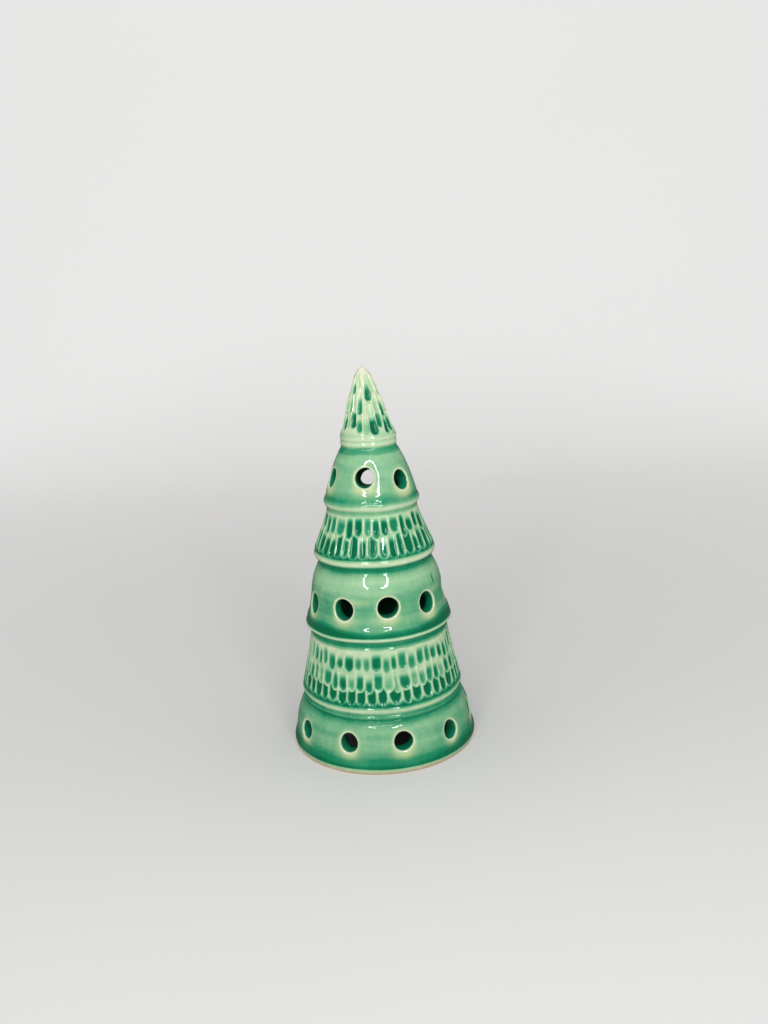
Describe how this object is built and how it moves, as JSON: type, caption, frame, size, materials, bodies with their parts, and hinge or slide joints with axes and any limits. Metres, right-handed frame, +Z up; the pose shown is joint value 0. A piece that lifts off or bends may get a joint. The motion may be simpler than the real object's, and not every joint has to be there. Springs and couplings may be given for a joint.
{
  "type": "christmas tree luminary",
  "caption": "Hollow glazed stoneware cone tree with pierced and gouged tiers and a gouged tip, standing over a battery tea light with a flame-shaped lens.",
  "frame": {"origin": "on the table, at the middle of the tree's foot ring", "axes": "+Z up along the tree's axis, -Y towards the viewer of the picture"},
  "size_m": [0.0872, 0.0872, 0.178],
  "materials": {
    "glaze": "glossy translucent celadon glaze that pools dark green in recesses",
    "case_plastic": "satin charcoal moulding",
    "lens_plastic": "frosted warm diffuser",
    "lamp_resin": "clear amber resin",
    "steel": "bright nickel plate",
    "brass": "stamped spring brass",
    "knob_plastic": "matt grey moulding"
  },
  "bodies": {
    "light": {"light_cup": "case_plastic", "flame_lens": "lens_plastic", "lamp_bulb": "lamp_resin", "anode_lead": "steel", "cathode_lead": "steel", "base_plate": "case_plastic", "coin_cell": "steel", "positive_contact": "brass", "negative_contact": "brass", "switch_contact": "brass"},
    "tree": {"tree_shell": "glaze"},
    "switch": {"switch_knob": "knob_plastic", "switch_blade": "brass"},
    "door": {"battery_door": "case_plastic"}
  },
  "joints": [
    {"name": "tree_lift", "type": "slide", "parent": "light", "child": "tree", "axis": [0, 0, 1], "range_m": [0, 0.045]},
    {"name": "switch_slide", "type": "slide", "parent": "light", "child": "switch", "axis": [1, 0, 0], "range_m": [0, 0.0024]},
    {"name": "door_hinge", "type": "hinge", "parent": "light", "child": "door", "pos_m": [0, 0.0145, 0.0018], "axis": [1, 0, 0], "range_deg": [0, 95]}
  ]
}
